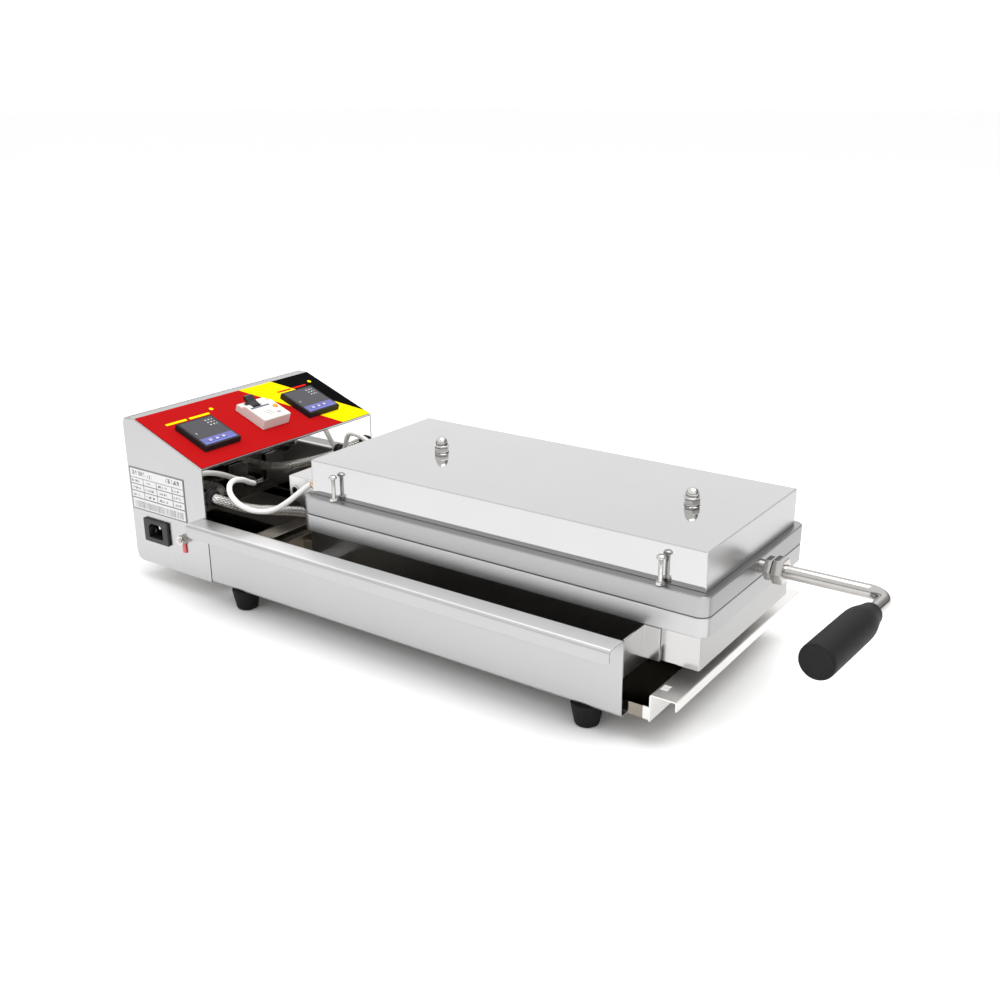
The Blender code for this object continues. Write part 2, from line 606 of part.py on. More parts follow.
def upper_mould():
    plate = mould_plate("upper_mould_plate", SEAM_Z + GAP, UPPER_Z, False)
    holes = bmesh.new()
    for x, y in GAP_SCREWS:
        lathe([(2.25, 110), (2.25, 140)], 12, start=(x, y, 0), bm=holes)
    for x in CAP_NUTS:
        lathe([(4.2, 129), (4.2, 140)], 16, start=(x, 0, 0), bm=holes)
    lathe([(6.2, 203), (6.2, 225)], 20, (1, 0, 0), (0, 0, ROD_Z), bm=holes)
    cutter(plate, holes, "holes")

    shell = bevel(block(-COVER_HALF_X, COVER_HALF_X, -COVER_HALF_Y, COVER_HALF_Y,
                        UPPER_Z + GAP, COVER_TOP), 1.3, 2,
                  lambda e: max(v.co.z for v in e.verts) > COVER_TOP - 1)
    cover = add("upper_cover", shell, STEEL)
    cutter(cover, block(-COVER_HALF_X + SHEET, COVER_HALF_X - SHEET, -COVER_HALF_Y + SHEET,
                        COVER_HALF_Y - SHEET, 120, COVER_TOP - SHEET), "inside")
    for n, x in enumerate(CAP_NUTS):
        hole = lathe([(4.3, 160), (4.3, 175)], 16, start=(x, 0, 0))
        cutter(cover, hole, "stud" + str(n))
    for n, y in enumerate((-86, 86)):
        hole = lathe([(3.2, -220), (3.2, -205)], 16, (1, 0, 0), (0, y, 139.2))
        cutter(cover, hole, "lead" + str(n))
    element("upper_element", 136.6)

    for n, x in enumerate(CAP_NUTS):
        stud = lathe([(3.9, 129.5), (3.9, 168)], 16, start=(x, 0, 0))
        stud = add("cap_nut_" + str(n + 1), stud, STEEL, smooth=False)
        joined(stud, hexagon(13, COVER_TOP + 0.2, 174.2, (0, 0, 1), (x, 0, 0)), "hex")
        dome = [(0, 173), (6.0, 173), (6.0, 176.2), (5.2, 179.2), (3.4, 181.2), (1.6, 182.0),
                (0, 182.2)]
        joined(stud, lathe(dome, 20, start=(x, 0, 0)), "dome")
    for n, (x, y) in enumerate(GAP_SCREWS):
        screw = [(0, 114.9), (2.0, 114.9), (2.0, 155.6), (4.0, 155.8), (3.7, 157.6), (2.2, 158.6),
                 (0, 158.6)]
        screw = add("gap_screw_" + str(n + 1), lathe(screw, 12, start=(x, y, 0)), STEEL)
        joined(screw, hexagon(7, UPPER_Z + 0.25, 135.6, (0, 0, 1), (x, y, 0)), "nut")
    for name, side in (("hinge_bracket_left", -1), ("hinge_bracket_right", 1)):
        outline = [(-262, BRACKET_TOP), (-217.2, BRACKET_TOP), (-217.2, 116), (-240, 109.5),
                   (-258, 109.5), (-262, 113.5)]
        low, high = sorted((side * 69.4, side * 71.4))
        bracket = add(name, prism(outline, "y", low, high), STEEL, HINGE_AT)
        low, high = sorted((side * 70, side * 80))
        joined(bracket, block(-218.4, -216.9, low, high, 116, 131.5), "foot")
        hole = lathe([(HINGE_HOLE_R, 65), (HINGE_HOLE_R, 75)], 16, (0, side, 0), HINGE_AT)
        cutter(bracket, hole, "hole")
    bridge = block(-262, -217.2, -69.1, 69.1, BRACKET_TOP - SHEET, BRACKET_TOP)
    add("hinge_bridge", bridge, STEEL, HINGE_AT)


def handle():
    way = Vector((-math.sin(GRIP_TURN), -math.cos(GRIP_TURN), 0))
    corner = Vector((ROD_BEND_X, 0, ROD_Z))
    line = [(204, 0), (ROD_BEND_X, 0), tuple((corner + way * 128).xy)]
    route = [(x, y, ROD_Z) for x, y in rounded(line, ROD_CORNER, 8)]
    tube("handle_rod", route, ROD_R, STEEL, 3)
    for name, across, low, high in (("handle_jam_nut", 18, 222.2, 229.0),
                                    ("handle_coupling_nut", 21, 229.6, 239.2)):
        nut = add(name, hexagon(across, low, high, (1, 0, 0), (0, 0, ROD_Z)), STEEL)
        bore = lathe([(6.2, low - 3), (6.2, high + 3)], 16, (1, 0, 0), (0, 0, ROD_Z))
        cutter(nut, bore, "bore")
    profile = [(6.3, 40), (8.6, 40), (9.2, 40.6), (10.4, 47), (13.4, 60), (14.1, 66), (14.2, 72),
               (14.2, 141), (13.4, 141.8), (0, 141.8), (0, 131), (6.3, 131)]
    bm = lathe_open(profile, 28)
    turn_to(bm, way, corner)
    add("handle_grip", bm, RUBBER, smooth=True)


def lathe_open(profile, steps):
    """A blind-bored turned piece: its profile meets the axis twice, and closes on itself."""
    bm = bmesh.new()
    rings = []
    for radius, height in profile:
        count = 1 if radius < 1e-6 else steps
        rings.append([bm.verts.new((radius * math.cos(2 * math.pi * i / steps),
                                    radius * math.sin(2 * math.pi * i / steps), height))
                      for i in range(count)])
    for a, b in zip(rings, rings[1:] + rings[:1]):
        if len(a) == 1 and len(b) == 1:
            continue
        for i in range(steps):
            j = (i + 1) % steps
            if len(a) == 1:
                bm.faces.new((a[0], b[j], b[i]))
            elif len(b) == 1:
                bm.faces.new((a[i], a[j], b[0]))
            else:
                bm.faces.new((a[i], a[j], b[j], b[i]))
    bmesh.ops.recalc_face_normals(bm, faces=bm.faces)
    return bm


# Drip tray


def drip_tray():
    x0, x1 = TRAY_X
    t = SHEET / 2
    side = [(-TRAY_HALF + t, TRAY_SIDE), (-TRAY_HALF + t, TRAY_Z + t),
            (TRAY_HALF - t, TRAY_Z + t), (TRAY_HALF - t, TRAY_SIDE)]
    tray = add("drip_tray", prism(ribbon(rounded(side, 2.0, 2), SHEET), "x", x0, x1 - 0.4), STEEL)
    back = block(x0, x0 + SHEET, -TRAY_HALF + 0.3, TRAY_HALF - 0.3, TRAY_Z + 0.3, TRAY_SIDE)
    joined(tray, back, "back")
    front = [(x1 - t, TRAY_Z + 0.3), (x1 - t, TRAY_FRONT - t), (TRAY_LIP - t, TRAY_FRONT - t),
             (TRAY_LIP - t, TRAY_FRONT - 8.6)]
    front = prism(ribbon(rounded(front, 1.6, 2), SHEET), "y", -TRAY_HALF - 0.4, TRAY_HALF - 0.4)
    joined(tray, front, "front")
    flange = [(x1 - t, TRAY_FRONT - 5), (x1 - t, TRAY_FRONT - t),
              (TRAY_LIP - t, TRAY_FRONT - t), (TRAY_LIP - t, TRAY_FRONT - 8.6)]
    flange = prism(ribbon(rounded(flange, 1.6, 2), SHEET), "y", TRAY_HALF - 2, 137)
    joined(tray, flange, "flange")
    cutter(tray, block(183.4, 190, -111, -102, 40, 60), "notch")


clear_scene()
base()
control_box()
for number, middle in enumerate(CONTROLLERS):
    controller("controller_" + str(number + 1), *middle)
breaker()
inlet_and_earth()
wiring()
lower_mould()
upper_mould()
handle()
drip_tray()
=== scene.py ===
import json
import math

import bmesh
import bpy
from mathutils import Matrix, Vector

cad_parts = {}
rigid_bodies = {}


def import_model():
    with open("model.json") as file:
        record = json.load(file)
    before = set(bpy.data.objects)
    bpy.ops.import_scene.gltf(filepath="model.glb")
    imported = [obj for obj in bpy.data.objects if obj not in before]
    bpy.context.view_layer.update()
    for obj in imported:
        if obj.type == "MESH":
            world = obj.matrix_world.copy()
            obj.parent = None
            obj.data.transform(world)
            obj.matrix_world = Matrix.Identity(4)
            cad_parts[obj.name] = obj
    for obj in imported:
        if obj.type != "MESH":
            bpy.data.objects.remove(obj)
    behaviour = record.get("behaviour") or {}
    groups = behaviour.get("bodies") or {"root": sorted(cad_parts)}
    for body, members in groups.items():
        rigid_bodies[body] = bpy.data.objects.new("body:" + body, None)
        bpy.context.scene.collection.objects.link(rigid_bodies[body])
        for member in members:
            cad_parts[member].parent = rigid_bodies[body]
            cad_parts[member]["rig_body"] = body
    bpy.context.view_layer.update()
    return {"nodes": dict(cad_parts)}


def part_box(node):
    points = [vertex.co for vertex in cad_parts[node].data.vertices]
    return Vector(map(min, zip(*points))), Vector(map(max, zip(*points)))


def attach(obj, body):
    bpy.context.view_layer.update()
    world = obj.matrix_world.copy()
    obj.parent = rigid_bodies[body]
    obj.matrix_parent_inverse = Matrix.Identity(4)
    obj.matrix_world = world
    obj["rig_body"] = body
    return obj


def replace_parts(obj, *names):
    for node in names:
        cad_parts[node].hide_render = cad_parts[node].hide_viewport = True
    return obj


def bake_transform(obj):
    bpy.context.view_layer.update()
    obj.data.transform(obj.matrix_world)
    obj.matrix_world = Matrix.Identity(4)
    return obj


for leftover in list(bpy.data.objects):
    bpy.data.objects.remove(leftover)
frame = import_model()

# ---------------------------------------------------------------------------------------
# Camera. The baker stands on a table and is seen from the front right, a little above it,
# with a lens of about 41 mm and the camera barely rolled.

camera_at = Vector((0.60341, -0.85497, 0.50251))
camera_azimuth = 0.61188
camera_height = 0.342429
camera_roll = -0.00453
camera = bpy.data.objects.new("camera", bpy.data.cameras.new("camera"))
camera.data.lens = 41.34
camera.data.sensor_width = 36
aim = Matrix.Rotation(camera_azimuth, 4, "Z") @ Matrix.Rotation(math.pi / 2 - camera_height, 4, "X")
camera.matrix_world = Matrix.Translation(camera_at) @ aim @ Matrix.Rotation(camera_roll, 4, "Z")
bpy.context.scene.collection.objects.link(camera)
bpy.context.scene.camera = camera


# ---------------------------------------------------------------------------------------
# Floor and light. A plain matt white table in an even white tent that is darker at the back
# right and has a dark band low down, under one broad soft lamp.


class Wire:
    """A value on its way through a node tree; sums on it add their Math nodes."""

    def __init__(self, tree, socket=None):
        self.tree = tree
        self.socket = socket

    def node(self, kind, settings=None, inputs=None, output=0):
        """Adds a node: its settings first, then the values or links of its sockets."""
        made = self.tree.nodes.new("ShaderNode" + kind)
        for setting, value in (settings or {}).items():
            if setting == "stops":
                ramp = made.color_ramp.elements
                while len(ramp) < len(value):
                    ramp.new(0.5)
                for stop, (at, shade) in zip(ramp, value):
                    stop.position = at
                    stop.color = (*shade, 1)
            else:
                setattr(made, setting, value)
        for name, value in (inputs or {}).items():
            if isinstance(value, Wire):
                self.tree.links.new(value.socket, made.inputs[name])
            else:
                made.inputs[name].default_value = value
        return Wire(self.tree, made.outputs[output])

    def maths(self, operation, *values):
        return self.node("Math", {"operation": operation}, dict(enumerate(values)))

    def __add__(self, other):
        return self.maths("ADD", self, other)

    __radd__ = __add__

    def __mul__(self, other):
        return self.maths("MULTIPLY", self, other)

    __rmul__ = __mul__

    def __sub__(self, other):
        return self.maths("SUBTRACT", self, other)

    def __rsub__(self, other):
        return self.maths("SUBTRACT", other, self)

    def __gt__(self, other):
        return self.maths("GREATER_THAN", self, other)

    def __lt__(self, other):
        return self.maths("LESS_THAN", self, other)

    def __abs__(self):
        return self.maths("ABSOLUTE", self)


def axes(place):
    """The x, y and z of a place."""
    split = place.node("SeparateXYZ", inputs={"Vector": place})
    return [Wire(place.tree, out) for out in split.socket.node.outputs]


def blend_of(factor, first, second):
    """A colour between two others; constants are given as three numbers."""
    shades = [shade if isinstance(shade, Wire) else (*shade, 1) for shade in (first, second)]
    return factor.node("Mix", {"data_type": "RGBA"}, {0: factor, 6: shades[0], 7: shades[1]}, 2)


def noise(place, scale, detail=2.0, rough=0.5):
    """Even noise between 0 and 1, with so many grains to the metre."""
    inputs = {"Vector": place, "Scale": scale, "Detail": detail, "Roughness": rough}
    return place.node("TexNoise", inputs=inputs)


def new_finish(name):
    """An empty material and the wire of its Object coordinates."""
    material = bpy.data.materials.new(name)
    material.use_nodes = True
    return material, Wire(material.node_tree).node("TexCoord", output="Object")


def coat(material, sockets):
    """Sets the sockets of the material's surface, by value or by wire."""
    shader = material.node_tree.nodes["Principled BSDF"]
    for name, value in sockets.items():
        if isinstance(value, Wire):
            material.node_tree.links.new(value.socket, shader.inputs[name])
        else:
            shader.inputs[name].default_value = value


def raised(height, distance, normal=None):
    """A surface normal for a height that rises by a distance in metres."""
    inputs = {"Height": height, "Distance": distance, "Strength": 1.0}
    if normal:
        inputs["Normal"] = normal
    return height.node("Bump", inputs=inputs)


table_white, table = new_finish("table_white")
table_tone = blend_of(noise(table, 1.5), (0.94, 0.94, 0.94), (0.95, 0.95, 0.95))
coat(table_white, {"Base Color": table_tone, "Roughness": 0.75, "Specular IOR Level": 0.15})
bm = bmesh.new()
bmesh.ops.create_grid(bm, x_segments=4, y_segments=4, size=30)
floor_mesh = bpy.data.meshes.new("table")
bm.to_mesh(floor_mesh)
bm.free()
floor_mesh.materials.append(table_white)
floor = bpy.data.objects.new("table", floor_mesh)
bpy.context.scene.collection.objects.link(floor)

tent = bpy.data.worlds.new("tent")
tent.use_nodes = True
bpy.context.scene.world = tent
sky = Wire(tent.node_tree).node("TexCoord", output="Generated")
sky_x, sky_y, sky_z = axes(sky)
back_right = sky_x * 0.69 + sky_y * 0.72
side_tone = back_right.node("ValToRGB", {"stops": [(0.0, (1.0, 1.0, 1.0)), (0.55, (1.0, 1.0, 1.0)),
                                                   (0.8, (0.36, 0.36, 0.36))]}, {"Fac": back_right})
low_band = (sky_z > 0.11) * (sky_z < 0.23)
tent_tone = blend_of(low_band * 0.9, side_tone, (0.05, 0.05, 0.05))
backdrop = tent.node_tree.nodes["Background"]
tent.node_tree.links.new(tent_tone.socket, backdrop.inputs["Color"])
backdrop.inputs["Strength"].default_value = 1.17

lamp = bpy.data.objects.new("soft_lamp", bpy.data.lights.new("soft_lamp", "AREA"))
lamp.data.shape = "RECTANGLE"
lamp.data.size = 2.4
lamp.data.size_y = 2.4
lamp.data.energy = 58
lamp_at = Vector((0.6, 0.05, 2.7))
lamp_aim = lamp_at.to_track_quat("Z", "Y").to_matrix().to_4x4()
lamp.matrix_world = Matrix.Translation(lamp_at) @ lamp_aim
bpy.context.scene.collection.objects.link(lamp)
bpy.context.scene.view_settings.view_transform = "Standard"


# ---------------------------------------------------------------------------------------
# Wiring between the control box and the moulds. Two heater supplies run in braided steel
# conduit to the lower mould. Two leads in white woven glass sleeve loop up to the hinged
# upper mould. Each passes the dividing wall in a black rubber grommet.


def piece(name, bm, finish, body=None, sharp=35):
    """Makes a finished mesh an object that rides on a body, if one is given, with the given finish."""
    mesh = bpy.data.meshes.new(name)
    bm.to_mesh(mesh)
    bm.free()
    packed_normals = mesh.attributes.get("custom_normal")
    if packed_normals:
        mesh.attributes.remove(packed_normals)
    mesh.shade_smooth()
    mesh.set_sharp_from_angle(angle=math.radians(sharp))
    mesh.materials.clear()
    mesh.materials.append(finish)
    made = bpy.data.objects.new(name, mesh)
    bpy.context.scene.collection.objects.link(made)
    if body:
        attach(made, body)
    return made


def through(points, spacing):
    """Evenly spaced points of a smooth curve through the given ones."""
    fine = []
    padded = [points[0], *points, points[-1]]
    for p0, p1, p2, p3 in zip(padded, padded[1:], padded[2:], padded[3:]):
        for step in range(20):
            t = step / 20
            fine.append(Vector([
                0.5 * (2 * b + (c - a) * t + (2 * a - 5 * b + 4 * c - d) * t * t
                       + (3 * b - a - 3 * c + d) * t ** 3)
                for a, b, c, d in zip(p0, p1, p2, p3)]))
    fine.append(Vector(points[-1]))
    total = sum((b - a).length for a, b in zip(fine, fine[1:]))
    count = max(2, round(total / spacing))
    out, run, want = [fine[0]], 0.0, 1
    for a, b in zip(fine, fine[1:]):
        run += (b - a).length
        while want < count and run >= want * total / count:
            out.append(b.lerp(a, (run - want * total / count) / max((b - a).length, 1e-9)))
            want += 1
    return out + [fine[-1]]


def swept(name, route, radius, finish, body=None, sides=6):
    """A capped round tube along a route, as a mesh with u along it and v around it."""
    curve = bpy.data.curves.new(name, "CURVE")
    curve.dimensions = "3D"
    curve.bevel_depth = radius
    curve.bevel_resolution = sides
    curve.use_fill_caps = True
    spline = curve.splines.new("POLY")
    spline.points.add(len(route) - 1)
    for point, at in zip(spline.points, route):
        point.co = (*at, 1)
    spline.use_smooth = True
    guide = bpy.data.objects.new(name + "_guide", curve)
    bpy.context.scene.collection.objects.link(guide)
    bpy.context.view_layer.update()
    mesh = bpy.data.meshes.new_from_object(guide)
    bpy.data.objects.remove(guide)
    bm = bmesh.new()
    bm.from_mesh(mesh)
    bmesh.ops.remove_doubles(bm, verts=bm.verts, dist=1e-6)
    return piece(name, bm, finish, body, 60)


def woven(uv, along, around):
    """Height of a two-way plait: strands that cross over and under each other."""
    u, v, _ = axes(uv)
    right = u * (along * math.pi) + v * (around * math.pi)
    left = u * (along * math.pi) - v * (around * math.pi)
    wave_right = uv.maths("SINE", right)
    wave_left = uv.maths("SINE", left)
    over = (wave_right * wave_left) > 0.0
    return uv.maths("MAXIMUM", abs(wave_right) * (0.55 + over * 0.45),
                    abs(wave_left) * (1.0 - over * 0.45))


def braid_finish(name, length):
    """Woven round steel wire, with painted shade in the spaces between the strands."""
    material, place = new_finish(name)
    uv = place.node("TexCoord", output="UV")
    plait = woven(uv, length / 0.0042, 10)
    dirt = noise(place, 60, 3)
    # The low parts of the plait are painted near black, as painted shade between the strands.
    gap_shade = plait.node("MapRange", inputs={"Value": plait, "From Min": 0.25, "From Max": 0.8})
    tone = blend_of(gap_shade, (0.05, 0.045, 0.04), (0.74, 0.73, 0.71))
    shade = blend_of(dirt, tone, (0.42, 0.40, 0.37))
    coat(material, {
        "Base Color": shade.node("Mix", {"data_type": "RGBA", "blend_type": "MULTIPLY"},
                                 {0: 0.35, 6: tone, 7: shade}, 2),
        "Metallic": 1.0,
        "Roughness": 0.2 + dirt * 0.16,
        "Normal": raised(plait, 0.0009),
    })
    return material


def sleeve_finish(name, length):
    """White woven glass sleeve, a little yellowed, with its fine plait shown by painted shade where the
    weave dips.
    """
    material, place = new_finish(name)
    uv = place.node("TexCoord", output="UV")
    plait = woven(uv, length / 0.0011, 16)
    soil = noise(place, 45, 3)
    # The weave is painted darker where it dips, as painted shade between the strands.
    shaded_threads = blend_of(plait, (0.78, 0.775, 0.76), (0.93, 0.925, 0.91))
    coat(material, {
        "Base Color": blend_of(soil * 0.15, shaded_threads, (0.66, 0.63, 0.57)),
        "Roughness": 0.62 - plait * 0.14,
        "Specular IOR Level": 0.4,
        "Sheen Weight": 0.25,
        "Normal": raised(plait, 0.00022),
    })
    return material


conduit_route = [(-0.26686, 0.118, 0.112), (-0.26086, 0.1138, 0.1093), (-0.25486, 0.1075, 0.1054),
                 (-0.24886, 0.1005, 0.1014), (-0.24086, 0.0894, 0.0973), (-0.23286, 0.078, 0.0947),
                 (-0.22386, 0.067, 0.0925), (-0.21186, 0.054, 0.090), (-0.19586, 0.046, 0.0876),
                 (-0.17986, 0.0438, 0.0862), (-0.14986, 0.0435, 0.086)]
braid = braid_finish("steel_braid", 0.175)
behind_wall = -0.28786
for name, side in (("conduit_left", -1), ("conduit_right", 1)):
    route = [Vector((behind_wall, side * 0.118, 0.112))]
    route += through([(x, side * y, z) for x, y, z in conduit_route], 0.003)
    tube = swept(name + "_braid", route, 0.005, braid, "base", 10)
    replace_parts(tube, name)

left_route = [(-0.26636, -0.0665, 0.1145), (-0.26436, -0.0695, 0.116), (-0.26136, -0.077, 0.1195),
              (-0.25686, -0.090, 0.1265), (-0.25186, -0.1045, 0.131), (-0.24686, -0.1156, 0.1308),
              (-0.24186, -0.1215, 0.1263), (-0.23686, -0.1222, 0.1201),
              (-0.22986, -0.1192, 0.1128), (-0.22086, -0.1132, 0.1076),
              (-0.21086, -0.1076, 0.1065), (-0.19986, -0.1026, 0.1092),
              (-0.18586, -0.098, 0.1185), (-0.17386, -0.092, 0.1295),
              (-0.16486, -0.087, 0.1373), (-0.15786, -0.086, 0.139), (-0.14986, -0.086, 0.1395)]
right_route = [(-0.26636, 0.073, 0.1145), (-0.26366, 0.0728, 0.119), (-0.26086, 0.0715, 0.125),
               (-0.25786, 0.0705, 0.132), (-0.25286, 0.070, 0.138), (-0.24286, 0.072, 0.1375),
               (-0.23086, 0.077, 0.130), (-0.21586, 0.083, 0.1225), (-0.19786, 0.087, 0.122),
               (-0.18186, 0.088, 0.128), (-0.17086, 0.087, 0.135), (-0.16286, 0.086, 0.1386),
               (-0.14986, 0.086, 0.1395)]
sleeve = sleeve_finish("glass_sleeve", 0.24)
for name, route, y in (("white_lead_left", left_route, -0.0665),
                       ("white_lead_right", right_route, 0.073)):
    route = [Vector((-0.28586, y, 0.1145))] + through(route, 0.0025)
    lead = swept(name + "_sleeve", route, 0.00275, sleeve, sides=8)
    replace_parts(lead, name)
    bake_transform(lead)


def turned(profile, steps=48, closed=False):
    """A profile of (radius, height) points turned about +Z."""
    bm = bmesh.new()
    points = [bm.verts.new((radius, 0, height)) for radius, height in profile]
    edges = [bm.edges.new(pair) for pair in zip(points, points[1:])]
    if closed:
        edges.append(bm.edges.new((points[-1], points[0])))
    bmesh.ops.spin(bm, geom=points + edges, axis=(0, 0, 1), cent=(0, 0, 0), dvec=(0, 0, 0),
                   angle=2 * math.pi, steps=steps, use_merge=True, use_duplicate=False)
    bmesh.ops.remove_doubles(bm, verts=bm.verts, dist=1e-6)
    bmesh.ops.recalc_face_normals(bm, faces=bm.faces)
    return bm


def put(bm, at, way=(0, 0, 1)):
    """Turns a mesh made along +Z to point along a direction, and moves it into place."""
    turn = Vector((0, 0, 1)).rotation_difference(Vector(way)).to_matrix().to_4x4()
    bmesh.ops.transform(bm, matrix=Matrix.Translation(at) @ turn, verts=bm.verts)
    return bm


def middle_of(node):
    """The centre of a CAD node's box."""
    low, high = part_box(node)
    return (low + high) / 2


def rubber_finish(name, tone, rough):
    """Moulded black rubber: fine grain, and a grey bloom where it has been handled."""
    material, place = new_finish(name)
    grain = noise(place, 2600, 2)
    bloom = noise(place, 38, 4, 0.6)
    coat(material, {
        "Base Color": blend_of(bloom, tone, tuple(value * 1.9 for value in tone)),
        "Roughness": rough + bloom * 0.16,
        "Specular IOR Level": 0.14,
        "Normal": raised(grain, 0.00004),
    })
    return material


black_rubber = rubber_finish("black_rubber", (0.007, 0.007, 0.007), 0.4)
grommet_rims = ((1, 0.0055, 0.0088), (2, 0.0055, 0.0088), (3, 0.0031, 0.0068), (4, 0.0031, 0.0068))
for number, bore, rim in grommet_rims:
    node = "grommet_" + str(number)
    neck = bore + 0.0008
    profile = [(bore, -0.0034), (bore + 0.0006, -0.004), (rim - 0.0012, -0.004),
               (rim - 0.0003, -0.0036), (rim, -0.0028), (rim, -0.002), (rim - 0.0006, -0.0014),
               (neck, -0.0014), (neck, 0.0006), (rim - 0.0005, 0.0006), (rim, 0.0011),
               (rim, 0.0030), (rim - 0.0004, 0.0038), (rim - 0.0018, 0.0048),
               (bore + 0.001, 0.0052), (bore + 0.0003, 0.0050), (bore, 0.0045)]
    centre = middle_of(node)
    centre.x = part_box(node)[0].x + 0.004
    ring = put(turned(profile, 40, closed=True), centre, (1, 0, 0))
    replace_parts(piece(node + "_ring", ring, black_rubber, "base", 50), node)


# ---------------------------------------------------------------------------------------
# Base. Two folded side panels with a rolled top flange, an end wall, a cross rail and a
# dividing wall, all in polished stainless sheet about 1.2 mm thick, welded and then
# polished. It stands on four cone-shaped rubber feet, each held by a screw.


def resurfaced(node, finish, sharp=35):
    """Stands a merged, smooth-shaded copy of a CAD node in its place, with a new finish."""
    bm = bmesh.new()
    bm.from_mesh(frame["nodes"][node].data)
    bmesh.ops.remove_doubles(bm, verts=bm.verts, dist=2e-6)
    body = frame["nodes"][node]["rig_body"]
    copy = piece(node + "_skin", bm, finish, body, sharp)
    flat_faces = copy.modifiers.new("flat_faces", "WEIGHTED_NORMAL")
    flat_faces.weight = 100
    flat_faces.keep_sharp = True
    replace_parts(copy, node)
    return copy


nowhere = 9.0  # past every piece, for a sheet without that part


def sheet_finish(name, tone, rough, grain, edge=0.0003, satin_and_shade_from=nowhere,
                 painted_highlight_from=nowhere):
    """Polished stainless sheet, faintly lined: a rougher ground finish with painted shade beyond some x,
    and a painted highlight above some z.
    """
    material, place = new_finish(name)
    lines = place.node("Mapping", inputs={"Vector": place, "Scale": grain})
    scratches = noise(lines, 1.0, 3, 0.6)
    clouds = noise(place, 13, 3)
    x, _, z = axes(place)
    satin_and_shade = x > satin_and_shade_from
    shade = blend_of(clouds, tuple(value * 0.96 for value in tone),
                     tuple(value * 1.03 for value in tone))
    # Beyond that x the colour is painted darker, as painted shade on the end faces; the roughness is
    # raised there for a real ground finish.
    shade = blend_of(satin_and_shade, shade, tuple(value * 0.82 for value in tone))
    # Above that z the colour is a painted highlight: a flat light grey standing in for light on the rolled
    # flange top.
    shade = blend_of(z > painted_highlight_from, shade, (0.88, 0.88, 0.88))
    bumped = raised(scratches, 0.0000006)
    coat(material, {
        "Base Color": shade,
        "Metallic": 1.0,
        "Roughness": (scratches * 0.25 + clouds * 0.15 + 0.8) * rough + satin_and_shade * 0.3,
        "Normal": bumped.node("Bevel", {"samples": 4}, {"Radius": edge, "Normal": bumped}),
    })
    return material


# The top of the rolled flange is lightened as a painted highlight.
panel_steel = sheet_finish("panel_steel", (0.49, 0.49, 0.495), 0.38, (3, 400, 900), 0.0006,
                           painted_highlight_from=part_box("base_panel_left")[1].z - 0.0004)
resurfaced("base_panel_left", panel_steel)
resurfaced("base_panel_right", panel_steel)

wall_steel = sheet_finish("wall_steel", (0.74, 0.73, 0.71), 0.012, (300, 4, 700))
resurfaced("dividing_wall", wall_steel)
resurfaced("box_floor", wall_steel)
rail_steel = sheet_finish("rail_steel", (0.74, 0.73, 0.715), 0.2, (300, 4, 700))
resurfaced("rear_cross_rail", rail_steel)
end_steel = sheet_finish("end_steel", (0.60, 0.595, 0.59), 0.2, (300, 4, 700))
resurfaced("end_wall", end_steel)

foot_rubber = rubber_finish("foot_rubber", (0.006, 0.006, 0.006), 0.5)
for number in range(1, 5):
    node = "foot_" + str(number)
    profile = [(0.0031, 0.009), (0.0031, 0.0006), (0.0037, 0.0), (0.0078, 0.0), (0.0092, 0.0002),
               (0.0101, 0.0008), (0.0108, 0.0019), (0.0112, 0.0038), (0.0127, 0.0118),
               (0.0142, 0.0196), (0.0143, 0.0206), (0.0143, 0.0214), (0.0141, 0.0216),
               (0.0, 0.0216)]
    centre = middle_of(node)
    foot = turned([(0.0, 0.009), *profile], 56)
    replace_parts(piece(node + "_cone", put(foot, (centre.x, centre.y, 0)), foot_rubber,
                      "base", 50), node)


# ---------------------------------------------------------------------------------------
# Control box. One folded hood of polished steel with a sloping face. A film printed in three
# diagonal bands is stuck to the slope, without any lettering. Two square panel meters with
# three film keys each, and the nose of a circuit breaker, stand up through cuts in it.

hood_steel = sheet_finish("hood_steel", (0.49, 0.49, 0.495), 0.26, (500, 400, 5))
resurfaced("control_hood", hood_steel)

slope_top = Vector((-0.37276, 0.0, 0.1825))
slope_turn = math.atan2(0.0376, 0.1002)
down_slope = Matrix.Rotation(slope_turn, 4, "Y")


def on_slope(s, y, h):
    """The point s down the slope, y across it and h out of it."""
    return slope_top + down_slope @ Vector((s, y, h))


def slope_place(place, s=0.0, y=0.0):
    """Coordinates down the slope, across it and out of it, from a point on it."""
    return place.node("Mapping", {"vector_type": "TEXTURE"},
                      {"Vector": place, "Location": on_slope(s, y, 0.0),
                       "Rotation": (0.0, slope_turn, 0.0)})


def within(value, low, high):
    """1 between two limits and 0 outside them."""
    return (value > low) * (value < high)


def radius_of(a, b):
    """How far a place is from the origin of two coordinates."""
    return a.maths("SQRT", a * a + b * b)


film, place = new_finish("panel_film")
s, y, _ = axes(slope_place(place))
band_lean = 0.619
across = y - s * band_lean
bands = blend_of(across > 0.016, (0.40, 0.006, 0.007), (0.90, 0.70, 0.0))
bands = blend_of(across > 0.066, bands, (0.002, 0.002, 0.002))
rule_left = within(s, 0.0243, 0.0275) * within(y, -0.1067, -0.0478) * (1 - within(y, -0.0793, -0.0753))
rule_right = within(s, 0.0225, 0.0253) * within(y, 0.0565, 0.1026) * (1 - within(y, 0.0781, 0.0811))
dot_radius = 0.0024
dot_left = radius_of(s - 0.0198, y + 0.0399) < dot_radius
dot_right = radius_of(s - 0.0200, y - 0.1128) < dot_radius
bands = blend_of(rule_left + dot_left + dot_right, bands, (0.95, 0.75, 0.0))
bands = blend_of(rule_right, bands, (0.70, 0.012, 0.012))
fading = noise(place, 30, 3)
coat(film, {
    "Base Color": blend_of(fading * 0.008, bands, (0.35, 0.33, 0.31)),
    "Roughness": 0.42 + fading * 0.08,
    "Specular IOR Level": 0.004,
    "Normal": raised(noise(place, 900, 2), 0.00002),
})
resurfaced("panel_overlay", film)


